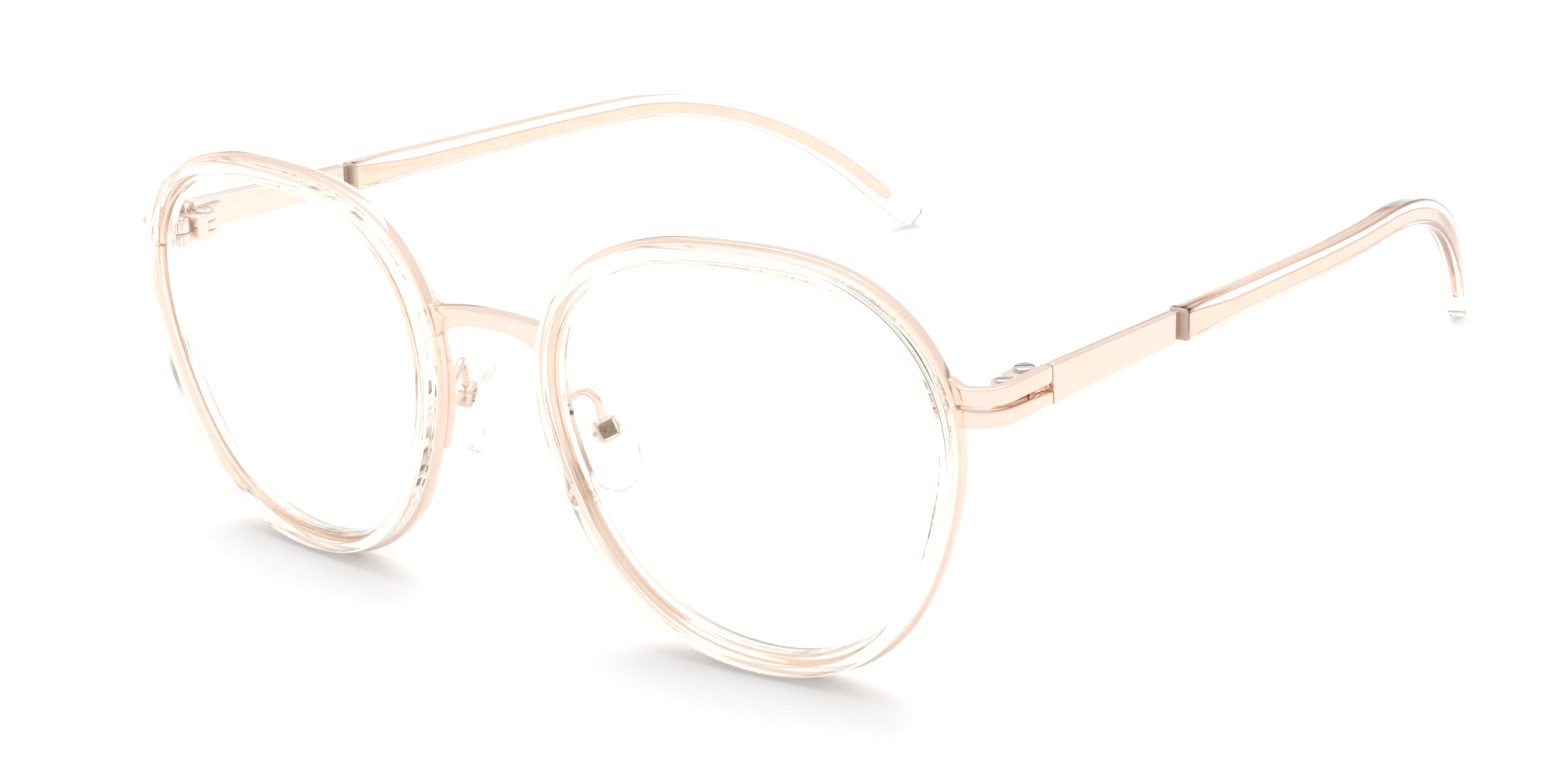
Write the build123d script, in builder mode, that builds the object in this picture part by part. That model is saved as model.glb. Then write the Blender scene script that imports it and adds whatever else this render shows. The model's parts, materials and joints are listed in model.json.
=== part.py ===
from build123d import *
from math import cos, sin, tan, pi, radians
import os

os.makedirs("parts", exist_ok=True)

# Round wire eyeglasses standing open on a table: +Z up, the front faces -Y, the wearer's left is +X.
# Places inside the frame are measured from the middle of the front, halfway between the two rim centres.
FRONT_Y = -71.12
FRONT_Z = 26.58

# Rims
RIM_CENTRE_X = 35.65
RIM_RADIUS = 26.8
OVAL = 0.86
PANTO = 1.27
SQUARE = -0.53
TEMPLE_SIDE_FLAT = -0.13
BROW_FLAT = 0.12
OUTLINE_POINTS = 30
WRAP = 5.3
TILT = 1.47
BAND_THICK = 0.6
BAND_FRONT = 0.15
BAND_DEPTH = 1.2
ACETATE_FRONT = 2.5
ACETATE_DEPTH = 4.95
ACETATE_ROUNDING = 0.5
RIM_SPLIT = 0.4
RIM_SPLIT_Z = 9.35

# Lenses
LENS_INSET = 2.75
LENS_THICK = 1.8
LENS_FRONT_RADIUS = 210.0
LENS_POLE = 1.95
GROOVE_DEPTH = 0.5
GROOVE_WIDTH = 0.8
GROOVE_Z = -0.35

# Bridge
BRIDGE_FRONT = -2.7
BRIDGE_DEPTH = 2.0
BRIDGE_REACH = 9.4
BRIDGE_TOP = 11.2
BRIDGE_HEIGHT = 2.0

# End pieces: two prongs a side, one over the other
PRONG_TOP = 11.6
PRONG_FOOT = 7.15
PRONG_THICK = 1.25
PRONG_FRONT = 2.2
PRONG_ROOT_THICK = 1.25
PRONG_CORNER_X = 67.0
PRONG_BEND = 4.2
SLIT_AT_RIM = (9.15, 9.55)
SLIT_AT_SEAM = (8.67, 9.59)
SEAM_Y = 12.75
SEAM_GAP = 0.08
SIDE_X = 67.65

# Rim lock and hinge, on one line inboard of the prongs
LOCK_X = 64.0
LOCK_Y = 8.6
LOCK_RADIUS = 1.35
LOCK_SCREW_RADIUS = 0.5
LOCK_HEAD_RADIUS = 0.85
HINGE_X = 63.9
HINGE_Y = 12.85
HINGE_FOOT = 7.15
HINGE_TOP = 10.5
KNUCKLE_RADIUS = 1.4
KNUCKLE_HEIGHT = 1.05
HINGE_SCREW_RADIUS = 0.6
HINGE_HEAD_RADIUS = 1.15
RUNNING_FIT = 0.04
SCREW_SLOT = 0.3

# Temples, along a line that starts at the seam
TEMPLE_X = 67.05
TEMPLE_Z = 9.36
SPLAY = 1.55
SLOPE = 3.8
STRAIGHT = 81.0
EAR_RADIUS = 67.0
EAR_BEND = 42.2
TIP_STRAIGHT = 13.05
CURL_START = 60.0
CURL = 0.0028
BLADE_THICK = 1.2
BLADE_HEIGHT = 4.45
BLADE_END_HEIGHT = 3.7
BLADE_LENGTH = 26.2
BLADE_ROUNDING = 0.15
SLEEVE_START = 27.0
CORE_THICK = 0.8

# Nose pads
CUP_X, CUP_Y, CUP_Z = 11.4, 4.4, -3.0
CUP_SIZE = 2.7
CUP_DEPTH = 1.8
CUP_WALL = 0.35
PAD_SCREW_RADIUS = 0.3
PAD_LENGTH = 13.4
PAD_WIDTH = 7.2
PAD_THICK = 2.1
PAD_DROP = 1.5
PAD_FACE = -1.5
PAD_LEAN = 14.6
ARM_RADIUS = 0.5


def at(x, y, z):
    """A place in the model's frame, given from the middle of the front."""
    return (x, FRONT_Y + y, FRONT_Z + z)


def rim_outline(inset):
    """Points of the round panto outline, moved inwards by inset along its own normal."""
    points = []
    for step in range(OUTLINE_POINTS):
        a = 2 * pi * step / OUTLINE_POINTS
        r = RIM_RADIUS + OVAL * cos(2 * a) + PANTO * sin(3 * a) + SQUARE * cos(4 * a)
        r += TEMPLE_SIDE_FLAT * cos(3 * a) + BROW_FLAT * sin(5 * a)
        slope = -2 * OVAL * sin(2 * a) + 3 * PANTO * cos(3 * a) - 4 * SQUARE * sin(4 * a)
        slope += -3 * TEMPLE_SIDE_FLAT * sin(3 * a) + 5 * BROW_FLAT * cos(5 * a)
        radial = Vector(cos(a), sin(a))
        tangent = Vector(-sin(a), cos(a))
        normal = (radial * r - tangent * slope).normalized()
        points.append(radial * r - normal * inset)
    return points


def rim_face(inset, mode=Mode.ADD):
    """The area inside the rim's outline at this inset, in the open sketch."""
    with BuildLine() as outline:
        Spline(*rim_outline(inset), periodic=True)
    make_face(outline.edges(), mode=mode)


def write(piece, name):
    """Labels one finished piece and writes it to its own file."""
    piece.label = name
    export_step(piece, f"parts/{name}.step")


def write_pair(builder, name):
    """Writes the wearer's left piece and its mirror image on the right."""
    write(builder.part, "left_" + name)
    with BuildPart() as twin:
        mirror(builder.part, about=Plane.YZ)
    write(twin.part, "right_" + name)


# The plane of the left rim: local x towards the temple, y up, z out of the front
w, t = radians(WRAP), radians(TILT)
rim_plane = Plane(
    origin=at(RIM_CENTRE_X, 0, 0),
    x_dir=(cos(w), sin(w) * cos(t), sin(w) * sin(t)),
    z_dir=(sin(w), -cos(w) * cos(t), -cos(w) * sin(t)),
)

# Two upright planes through the middle of the front: face on, and from the wearer's left side
front_plane = Plane(origin=at(0, 0, 0), x_dir=(1, 0, 0), z_dir=(0, -1, 0))
side_plane = Plane(origin=at(0, 0, 0), x_dir=(0, 1, 0), z_dir=(1, 0, 0))

# ---- Rims and lenses ----

# Everything inside the outer face of the rim band, used to end other pieces on that face
with BuildPart() as rim_blank:
    with BuildSketch(rim_plane):
        rim_face(0)
    extrude(amount=5, both=True)

# The metal band, cut through at the temple side where the rim lock pulls it closed
with BuildPart() as eyewire:
    with BuildSketch(rim_plane.offset(BAND_FRONT)):
        rim_face(0)
        rim_face(BAND_THICK, Mode.SUBTRACT)
    extrude(amount=-BAND_DEPTH)
    with BuildSketch(rim_plane):
        with Locations((RIM_RADIUS, RIM_SPLIT_Z)):
            Rectangle(8, RIM_SPLIT)
    extrude(amount=2 * BAND_DEPTH, both=True, mode=Mode.SUBTRACT)
write_pair(eyewire, "eyewire")

# The clear ring set in the band, with rounded lips and a groove for the lens
with BuildPart() as inner_rim:
    with BuildSketch(rim_plane.offset(ACETATE_FRONT)):
        rim_face(BAND_THICK)
        rim_face(LENS_INSET, Mode.SUBTRACT)
    extrude(amount=-ACETATE_DEPTH)
    lips = inner_rim.edges().filter_by(lambda edge: edge.is_closed)
    fillet(lips, radius=ACETATE_ROUNDING)
    with BuildSketch(rim_plane.offset(GROOVE_Z + GROOVE_WIDTH / 2)):
        rim_face(LENS_INSET - GROOVE_DEPTH)
    extrude(amount=-GROOVE_WIDTH, mode=Mode.SUBTRACT)
write_pair(inner_rim, "inner_rim")

# A thin meniscus lens with a flat bevel that fills the groove
with BuildPart() as lens:
    with BuildSketch(rim_plane):
        rim_face(LENS_INSET)
    extrude(amount=4, both=True)
    with Locations(rim_plane.offset(LENS_POLE - LENS_FRONT_RADIUS).location):
        Sphere(LENS_FRONT_RADIUS, mode=Mode.INTERSECT)
        Sphere(LENS_FRONT_RADIUS - LENS_THICK, mode=Mode.SUBTRACT)
    with BuildSketch(rim_plane.offset(GROOVE_Z + GROOVE_WIDTH / 2)):
        rim_face(LENS_INSET - GROOVE_DEPTH)
        rim_face(LENS_INSET + 0.3, Mode.SUBTRACT)
    extrude(amount=-GROOVE_WIDTH)
write_pair(lens, "lens")

# ---- Bridge: a flat-topped bar, arched below, flaring where it meets the rims ----
with BuildPart() as bridge:
    foot = BRIDGE_TOP - BRIDGE_HEIGHT
    with BuildSketch(front_plane.offset(-BRIDGE_FRONT)):
        with BuildLine():
            top_left = (-BRIDGE_REACH, BRIDGE_TOP - 0.8)
            top_right = (BRIDGE_REACH, BRIDGE_TOP - 0.8)
            ThreePointArc(top_left, (0, BRIDGE_TOP), top_right)
            Line(top_right, (BRIDGE_REACH, foot - 2.6))
            Spline(
                (BRIDGE_REACH, foot - 2.6),
                (BRIDGE_REACH - 2.4, foot - 0.35),
                (0, foot),
                (2.4 - BRIDGE_REACH, foot - 0.35),
                (-BRIDGE_REACH, foot - 2.6),
            )
            Line((-BRIDGE_REACH, foot - 2.6), top_left)
        make_face()
    extrude(amount=-BRIDGE_DEPTH)
    add(rim_blank.part, mode=Mode.SUBTRACT)
    add(mirror(rim_blank.part, about=Plane.YZ, mode=Mode.PRIVATE), mode=Mode.SUBTRACT)
write(bridge.part, "bridge")

# ---- End pieces ----


def prong_plan():
    """The bent strip of a prong, seen from above, in the open sketch."""
    root_x = RIM_CENTRE_X + RIM_RADIUS - 3
    back_y = PRONG_FRONT + PRONG_ROOT_THICK
    with BuildLine() as plan:
        outer = [
            (root_x, FRONT_Y + PRONG_FRONT),
            (PRONG_CORNER_X, FRONT_Y + PRONG_FRONT),
            (SIDE_X, FRONT_Y + SEAM_Y),
        ]
        inner = [
            (SIDE_X - PRONG_THICK, FRONT_Y + SEAM_Y),
            (PRONG_CORNER_X - PRONG_THICK, FRONT_Y + back_y),
            (root_x, FRONT_Y + back_y),
        ]
        FilletPolyline(*outer, radius=PRONG_BEND)
        Line(outer[2], inner[0])
        FilletPolyline(*inner, radius=PRONG_BEND - PRONG_THICK)
        Line(inner[2], outer[0])
    make_face(plan.edges())


def build_prong(rim_foot, rim_top, seam_foot, seam_top):
    """One prong: the bent strip, cut to its heights at the rim and at the seam."""
    with BuildPart() as prong:
        with BuildSketch(Plane.XY.offset(FRONT_Z + PRONG_FOOT)):
            prong_plan()
        extrude(amount=PRONG_TOP - PRONG_FOOT)
        with BuildSketch(side_plane):
            Polygon(
                (0, rim_foot),
                (PRONG_FRONT + PRONG_ROOT_THICK, rim_foot),
                (SEAM_Y, seam_foot),
                (SEAM_Y, seam_top),
                (PRONG_FRONT + PRONG_ROOT_THICK, rim_top),
                (0, rim_top),
                align=None,
            )
        extrude(amount=SIDE_X + 1, mode=Mode.INTERSECT)
        add(rim_blank.part, mode=Mode.SUBTRACT)
    return prong


upper_prong = build_prong(SLIT_AT_RIM[1], PRONG_TOP, SLIT_AT_SEAM[1], PRONG_TOP)
write_pair(upper_prong, "upper_prong")

lower_prong = build_prong(PRONG_FOOT, SLIT_AT_RIM[0], PRONG_FOOT, SLIT_AT_SEAM[0])
write_pair(lower_prong, "lower_prong")

# The whole strip without its slit, used to end the lock and the hinge on its inner face
prong_blank = build_prong(PRONG_FOOT, PRONG_TOP, PRONG_FOOT, PRONG_TOP)


# ---- Rim lock: two blocks drawn together by one small screw ----


def build_lock_half(foot, top):
    """One block of the rim lock, round at the screw and flat against its prong."""
    with BuildPart() as half:
        with BuildSketch(Plane.XY.offset(FRONT_Z + foot)):
            with Locations((LOCK_X, FRONT_Y + LOCK_Y)):
                Circle(LOCK_RADIUS)
                Rectangle(2.6, 2 * LOCK_RADIUS, align=(Align.MIN, Align.CENTER))
                Circle(LOCK_SCREW_RADIUS, mode=Mode.SUBTRACT)
        extrude(amount=top - foot)
        add(prong_blank.part, mode=Mode.SUBTRACT)
    return half


lock_middle = (HINGE_FOOT + HINGE_TOP) / 2
write_pair(build_lock_half(lock_middle + 0.05, HINGE_TOP), "rim_lock_upper")
write_pair(build_lock_half(HINGE_FOOT, lock_middle - 0.05), "rim_lock_lower")


def build_screw(x, y, foot, shaft, head, head_height):
    """An upright slotted screw: a plain shaft from foot to the hinge's top, and a flat head."""
    with BuildPart() as screw:
        with BuildSketch(Plane.XY.offset(FRONT_Z + foot)):
            with Locations((x, FRONT_Y + y)):
                Circle(shaft)
        extrude(amount=HINGE_TOP - foot)
        with BuildSketch(Plane.XY.offset(FRONT_Z + HINGE_TOP)):
            with Locations((x, FRONT_Y + y)):
                Circle(head)
        extrude(amount=head_height)
        with BuildSketch(Plane.XY.offset(FRONT_Z + HINGE_TOP + head_height)):
            with Locations((x, FRONT_Y + y)):
                Rectangle(3 * head, SCREW_SLOT, rotation=35)
        extrude(amount=-head_height / 2, mode=Mode.SUBTRACT)
    return screw


lock_screw = build_screw(LOCK_X, LOCK_Y, HINGE_FOOT, LOCK_SCREW_RADIUS, LOCK_HEAD_RADIUS, 0.3)
write_pair(lock_screw, "rim_lock_screw")

# ---- Hinge: two knuckles on the front, one on the temple ----
hinge_screw = build_screw(
    HINGE_X, HINGE_Y, HINGE_FOOT - 0.35, HINGE_SCREW_RADIUS, HINGE_HEAD_RADIUS, 0.35
)
write_pair(hinge_screw, "hinge_screw")

with BuildPart() as front_hinge_leaf:
    axis_at = (HINGE_X, FRONT_Y + HINGE_Y)
    with BuildSketch(Plane.XY.offset(FRONT_Z + HINGE_FOOT)):
        with Locations(axis_at):
            Circle(KNUCKLE_RADIUS)
            Rectangle(2 * KNUCKLE_RADIUS, 2.5, align=(Align.CENTER, Align.MAX))
        with Locations((HINGE_X - KNUCKLE_RADIUS, FRONT_Y + HINGE_Y - 2.5)):
            Rectangle(4.2, 0.8, align=(Align.MIN, Align.MIN))
        with Locations(axis_at):
            Circle(HINGE_SCREW_RADIUS, mode=Mode.SUBTRACT)
    extrude(amount=HINGE_TOP - HINGE_FOOT)
    # room for the temple's knuckle between the two outer ones
    with BuildSketch(Plane.XY.offset(FRONT_Z + HINGE_FOOT + KNUCKLE_HEIGHT)):
        with Locations(axis_at):
            Circle(KNUCKLE_RADIUS + 0.2)
            Rectangle(2 * KNUCKLE_RADIUS + 0.4, 2, align=(Align.CENTER, Align.MIN))
    extrude(amount=HINGE_TOP - HINGE_FOOT - 2 * KNUCKLE_HEIGHT, mode=Mode.SUBTRACT)
    add(prong_blank.part, mode=Mode.SUBTRACT)
write_pair(front_hinge_leaf, "front_hinge_leaf")

# ---- Temples ----


def temple_point(s):
    """A point s along the temple's side view: straight, round the ear, then straight to the tip."""
    slope, bend = radians(SLOPE), radians(EAR_BEND)
    turned = min(max((s - STRAIGHT) / EAR_RADIUS, 0), bend)
    before = min(s, STRAIGHT)
    after = max(s - STRAIGHT - EAR_RADIUS * bend, 0)
    along = before * cos(slope) + EAR_RADIUS * (sin(slope + turned) - sin(slope))
    along += after * cos(slope + bend)
    down = before * sin(slope) + EAR_RADIUS * (cos(slope) - cos(slope + turned))
    down += after * sin(slope + bend)
    inward = along * tan(radians(SPLAY)) + CURL * max(along - CURL_START, 0) ** 2
    return Vector(at(TEMPLE_X - inward, SEAM_Y + SEAM_GAP + along, TEMPLE_Z - down))


def temple_plane(s):
    """The plane across the temple at s: local x outwards, y up."""
    along = (temple_point(s + 0.05) - temple_point(s - 0.05)).normalized()
    if s == 0:
        along = Vector(0, 1, 0)
    return Plane(origin=temple_point(s), x_dir=along.cross(Vector(0, 0, 1)), z_dir=-along)


def build_bar(stations, rounding):
    """A bar along the temple through sections given as (place, thickness, height)."""
    with BuildPart() as bar:
        for s, thick, height in stations:
            with BuildSketch(temple_plane(s)):
                RectangleRounded(thick, height, rounding * thick)
        loft()
    return bar


sleeve_end = STRAIGHT + EAR_RADIUS * radians(EAR_BEND) + TIP_STRAIGHT
core_end = sleeve_end - 7.0

# The core: a neck out of the blade, a wide head, a taper, then a narrow flat wire round the ear
core_stations = [
    (BLADE_LENGTH - 0.4, CORE_THICK, 2.6),
    (SLEEVE_START + 0.6, CORE_THICK, 2.8),
    (32, CORE_THICK, 3.0),
    (39, CORE_THICK, 2.9),
    (52, CORE_THICK, 2.0),
]
for station in range(6):
    s = STRAIGHT - 14 + station * 13
    core_stations.append((s, CORE_THICK, 1.9))
core_stations.append((core_end, 0.6, 1.5))

core = build_bar(core_stations, 0.2)

# The blade: a flat bar with a plane outer side, square at the seam, tapering to the sleeve
blade_along = (temple_point(1) - temple_point(0)).normalized()
blade_side = Plane(
    origin=temple_point(0),
    x_dir=blade_along,
    z_dir=blade_along.cross(Vector(0, 0, 1)),
)
seam_plane = Plane(origin=temple_point(0), z_dir=(0, 1, 0))

with BuildPart() as temple_blade:
    with BuildSketch(blade_side):
        Polygon(
            (-1, BLADE_HEIGHT / 2),
            (-1, -BLADE_HEIGHT / 2),
            (0, -BLADE_HEIGHT / 2),
            (BLADE_LENGTH, -BLADE_END_HEIGHT / 2),
            (BLADE_LENGTH, BLADE_END_HEIGHT / 2),
            (0, BLADE_HEIGHT / 2),
            align=None,
        )
    extrude(amount=BLADE_THICK / 2, both=True)
    split(bisect_by=seam_plane, keep=Keep.TOP)
    long_edges = temple_blade.edges().filter_by(lambda edge: edge.length > BLADE_LENGTH - 1)
    fillet(long_edges, radius=BLADE_ROUNDING)
    add(core.part)
write_pair(temple_blade, "temple_blade")

# The clear sleeve: oval at its mouth, slimmer round the ear, and a paddle at the tip
sleeve_stations = [
    (SLEEVE_START, 2.6, 3.9),
    (31, 2.6, 3.9),
    (45, 2.4, 3.6),
    (60, 2.3, 3.4),
    (75, 2.3, 3.4),
    (88, 2.3, 3.4),
    (101, 2.3, 3.5),
    (114, 2.4, 3.8),
    (124, 2.6, 4.3),
    (sleeve_end - 10, 2.8, 4.8),
    (sleeve_end - 5, 2.8, 4.9),
    (sleeve_end - 1.5, 2.4, 4.1),
    (sleeve_end, 1.5, 2.4),
]
with BuildPart() as temple_sleeve:
    add(build_bar(sleeve_stations, 0.42).part)
    add(core.part, mode=Mode.SUBTRACT)
write_pair(temple_sleeve, "temple_sleeve")

# The temple's knuckle and the small plate that fixes it to the blade
with BuildPart() as temple_hinge_leaf:
    foot = HINGE_FOOT + KNUCKLE_HEIGHT + 0.1
    top = HINGE_TOP - KNUCKLE_HEIGHT - 0.1
    with BuildSketch(Plane.XY.offset(FRONT_Z + foot)):
        with Locations((HINGE_X, FRONT_Y + HINGE_Y)):
            Circle(KNUCKLE_RADIUS)
            Rectangle(2.8, KNUCKLE_RADIUS, align=(Align.MIN, Align.MIN))
            Circle(HINGE_SCREW_RADIUS + RUNNING_FIT, mode=Mode.SUBTRACT)
    extrude(amount=top - foot)
    with BuildSketch(Plane.XY.offset(FRONT_Z + HINGE_FOOT + 0.1)):
        with Locations((HINGE_X + 1.7, FRONT_Y + HINGE_Y + 0.25)):
            Rectangle(1.2, 4.2, align=(Align.MIN, Align.MIN))
    extrude(amount=HINGE_TOP - HINGE_FOOT - 0.2)
    add(temple_blade.part, mode=Mode.SUBTRACT)
write_pair(temple_hinge_leaf, "temple_hinge_leaf")

# ---- Nose pads ----

# The plate behind the nose side of the band, deepest at its rounded lower end
with BuildPart() as nose_plate:
    with BuildSketch(rim_plane.offset(BAND_FRONT - BAND_DEPTH)):
        rim_face(0)
        rim_face(BAND_THICK, Mode.SUBTRACT)
    extrude(amount=-2.5)
    with BuildSketch(side_plane):
        with BuildLine():
            side = [(-4, 7.4), (-1.3, 7.4), (-0.35, 1.5), (0.1, -8.1), (-4, -8.1)]
            FilletPolyline(*side, radius=0.6)
            Line(side[4], side[0])
        make_face()
    extrude(amount=RIM_CENTRE_X - 10, mode=Mode.INTERSECT)
write_pair(nose_plate, "nose_plate")

# The plane of the cup: local x along the pad screw, y up the pad, z away from the nose
away = Vector(0.84, -0.46, 0.28).normalized()
level = Vector(0, 0, 1).cross(away).normalized()
lean = radians(PAD_LEAN)
screw_axis = level * cos(lean) + away.cross(level) * sin(lean)
pad_plane = Plane(origin=at(CUP_X, CUP_Y, CUP_Z), x_dir=screw_axis, z_dir=away)

with BuildPart() as pad_cup:
    with BuildSketch(pad_plane.offset(-CUP_DEPTH / 2)):
        RectangleRounded(CUP_SIZE, CUP_SIZE, 0.6)
    extrude(amount=CUP_DEPTH)
    with BuildSketch(pad_plane.offset(-CUP_DEPTH / 2)):
        RectangleRounded(CUP_SIZE - 2 * CUP_WALL, CUP_SIZE - 2 * CUP_WALL, 0.3)
    extrude(amount=CUP_DEPTH - CUP_WALL, mode=Mode.SUBTRACT)
    with Locations(pad_plane.location):
        Cylinder(PAD_SCREW_RADIUS, 2 * CUP_SIZE, rotation=(0, 90, 0), mode=Mode.SUBTRACT)
write_pair(pad_cup, "pad_cup")

with BuildPart() as pad_screw:
    with Locations(pad_plane.location):
        Cylinder(PAD_SCREW_RADIUS, 3.3, rotation=(0, 90, 0))
        with Locations((CUP_SIZE / 2 + 0.2, 0, 0)):
            Cylinder(0.55, 0.4, rotation=(0, 90, 0))
        with Locations((CUP_SIZE / 2 + 0.4, 0, 0)):
            Box(0.3, 0.2, 2, mode=Mode.SUBTRACT)
write_pair(pad_screw, "pad_screw")

# The gooseneck wire that carries the cup, ending on the plate and on the cup
with BuildPart() as pad_arm:
    with BuildLine():
        cup_top = pad_plane.from_local_coords((0, CUP_SIZE / 2 - 0.2, 0.3))
        neck = Spline(at(8.9, -0.7, 0), at(9.15, 1.0, 1.3), at(9.8, 2.4, 2.0), at(10.8, 3.7, 0.9), cup_top)
    with BuildSketch(Plane(origin=neck @ 0, z_dir=neck % 0)):
        Circle(ARM_RADIUS)
    sweep()
    with BuildSketch(pad_plane.offset(-CUP_DEPTH / 2)):
        RectangleRounded(CUP_SIZE, CUP_SIZE, 0.6)
    extrude(amount=CUP_DEPTH, mode=Mode.SUBTRACT)
    add(nose_plate.part, mode=Mode.SUBTRACT)
    add(inner_rim.part, mode=Mode.SUBTRACT)
write_pair(pad_arm, "pad_arm")

# The soft oval pad and the hard lug that the pad screw passes through
with BuildPart() as nose_pad:
    with BuildSketch(pad_plane.offset(PAD_FACE)):
        with Locations((0, -PAD_DROP)):
            Ellipse(PAD_WIDTH / 2, PAD_LENGTH / 2)
    extrude(amount=-PAD_THICK)
    fillet(nose_pad.edges().filter_by(lambda edge: edge.is_closed), radius=0.8)
write_pair(nose_pad, "nose_pad")

with BuildPart() as pad_lug:
    with BuildSketch(pad_plane.offset(PAD_FACE)):
        RectangleRounded(1.2, 1.3, 0.3)
    extrude(amount=-PAD_FACE + 0.45)
    with Locations(pad_plane.location):
        Cylinder(PAD_SCREW_RADIUS + RUNNING_FIT, 4, rotation=(0, 90, 0), mode=Mode.SUBTRACT)
write_pair(pad_lug, "pad_lug")
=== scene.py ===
import json
from math import cos, pi, radians, sin, sqrt, tan

import bmesh
import bpy
from mathutils import Matrix, Vector

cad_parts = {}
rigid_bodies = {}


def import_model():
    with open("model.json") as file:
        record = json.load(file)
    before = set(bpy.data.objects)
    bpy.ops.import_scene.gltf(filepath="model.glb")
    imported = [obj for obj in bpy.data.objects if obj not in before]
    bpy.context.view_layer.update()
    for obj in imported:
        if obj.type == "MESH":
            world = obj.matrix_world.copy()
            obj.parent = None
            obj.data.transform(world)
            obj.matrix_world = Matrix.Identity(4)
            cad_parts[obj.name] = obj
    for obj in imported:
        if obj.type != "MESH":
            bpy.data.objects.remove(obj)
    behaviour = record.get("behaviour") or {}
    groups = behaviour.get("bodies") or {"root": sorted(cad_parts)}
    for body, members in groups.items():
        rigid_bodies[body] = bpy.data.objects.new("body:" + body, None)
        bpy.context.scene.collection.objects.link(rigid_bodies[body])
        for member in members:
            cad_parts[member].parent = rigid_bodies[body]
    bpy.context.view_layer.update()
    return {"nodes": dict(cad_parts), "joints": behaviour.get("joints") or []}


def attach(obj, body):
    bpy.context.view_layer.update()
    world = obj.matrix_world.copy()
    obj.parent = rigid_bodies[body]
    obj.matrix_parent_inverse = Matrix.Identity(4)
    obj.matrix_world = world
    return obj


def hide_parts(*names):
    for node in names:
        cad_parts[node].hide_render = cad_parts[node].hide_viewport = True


for leftover in list(bpy.data.objects):
    bpy.data.objects.remove(leftover)

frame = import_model()

# ==== Rim bands ====
# Each lens sits in a flat band of nickel silver, bent edge-on to a round panto outline, polished and
# plated pale rose gold. The band is open at the temple side, where the rim lock pulls it closed.

# Every piece is drawn in millimetres from the middle of the front, halfway between the rims,
# and moved into the model's frame at the end. The hinge pin ties the two together.
MM = 0.001
HINGE_PIN = Vector((63.9, 12.85, 8.83))
pin = next(joint for joint in frame["joints"] if joint["name"] == "left_temple_fold")["pos_m"]
to_model = Matrix.Translation(Vector(pin) - HINGE_PIN * MM) @ Matrix.Scale(MM, 4)

RIM_CENTRE_X = 35.65
RIM_RADIUS = 26.8
RIM_WAVES = (
    ("Oval", 2, 0.86, 0.0),
    ("Panto", 3, -0.13, 1.27),
    ("Square", 4, -0.53, 0.0),
    ("Brow flat", 5, 0.0, 0.12),
)
WRAP, TILT = radians(5.3), radians(1.47)
BAND_THICK = 0.6
BAND_FRONT, BAND_BACK = 0.15, -1.05
BAND_SPLIT_ANGLE = 19.6
BAND_SPLIT_GAP = 0.45
ROSE_GOLD = "EFDCD0"
ROSE_GOLD_WARM = "EAD2C4"
# Each finish has a swell under its grain, this many times coarser
SWELL_RATIO = 6


def colour(hex_code):
    """A linear colour from an sRGB hex value."""
    channels = [int(hex_code[i:i + 2], 16) / 255 for i in (0, 2, 4)]
    return [c / 12.92 if c <= 0.04045 else ((c + 0.055) / 1.055) ** 2.4 for c in channels] + [1.0]


def add_node(tree, kind, inputs={}, **settings):
    """Adds a node: its settings, then its inputs, each a constant or a link from another node's socket."""
    node = tree.nodes.new(kind)
    for name, value in settings.items():
        setattr(node, name, value)
    for key, value in inputs.items():
        if isinstance(value, bpy.types.NodeSocket):
            tree.links.new(value, node.inputs[key])
        else:
            node.inputs[key].default_value = value
    return node


def new_material(name, shader_inputs, grain_size, rough, bump_height, tint=None):
    """A material whose roughness, bump and tint follow a fine grain of the given size in millimetres."""
    material = bpy.data.materials.new(name)
    material.use_nodes = True
    tree = material.node_tree
    shader = tree.nodes["Principled BSDF"]
    for key, value in shader_inputs.items():
        shader.inputs[key].default_value = value
    place = add_node(tree, "ShaderNodeTexCoord").outputs["Object"]
    grain = add_node(tree, "ShaderNodeTexNoise", {
        "Vector": place, "Scale": 1 / (grain_size * MM), "Detail": 3.0})
    polish = add_node(
        tree, "ShaderNodeMapRange", {"Value": grain.outputs["Fac"], "From Min": 0.3, "From Max": 0.7,
                                     "To Min": rough[0], "To Max": rough[1]})
    tree.links.new(polish.outputs["Result"], shader.inputs["Roughness"])
    swell = add_node(tree, "ShaderNodeTexNoise", {
        "Vector": place, "Scale": 1 / (SWELL_RATIO * grain_size * MM), "Detail": 1.0})
    bump = add_node(tree, "ShaderNodeBump", {
        "Height": swell.outputs["Fac"], "Strength": 1.0, "Distance": bump_height * MM})
    tree.links.new(bump.outputs["Normal"], shader.inputs["Normal"])
    if tint:
        mix = add_node(tree, "ShaderNodeMix", {
            "Factor": swell.outputs["Fac"], "A": colour(tint[0]), "B": colour(tint[1])}, data_type="RGBA")
        tree.links.new(mix.outputs["Result"], shader.inputs["Base Color"])
    return material


def rim_radius(a):
    """The outer radius of the band at angle a from the temple side, counted upwards."""
    return RIM_RADIUS + sum(c * cos(k * a) + s * sin(k * a) for name, k, c, s in RIM_WAVES)


def rim_point(a, inset=0.0, forward=0.0):
    """A place inside the band's outer face by inset, and forward of the rim's plane."""
    r = rim_radius(a)
    slope = sum(k * (s * cos(k * a) - c * sin(k * a)) for name, k, c, s in RIM_WAVES)
    radial, tangent = Vector((cos(a), sin(a), 0)), Vector((-sin(a), cos(a), 0))
    return radial * r - (radial * r - tangent * slope).normalized() * inset + Vector((0, 0, forward))


across = Vector((cos(WRAP), sin(WRAP) * cos(TILT), sin(WRAP) * sin(TILT)))
forward = Vector((sin(WRAP), -cos(WRAP) * cos(TILT), -cos(WRAP) * sin(TILT)))
rim_plane = Matrix.Translation((RIM_CENTRE_X, 0, 0)) @ Matrix(
    (across, forward.cross(across), forward)).transposed().to_4x4()


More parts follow.
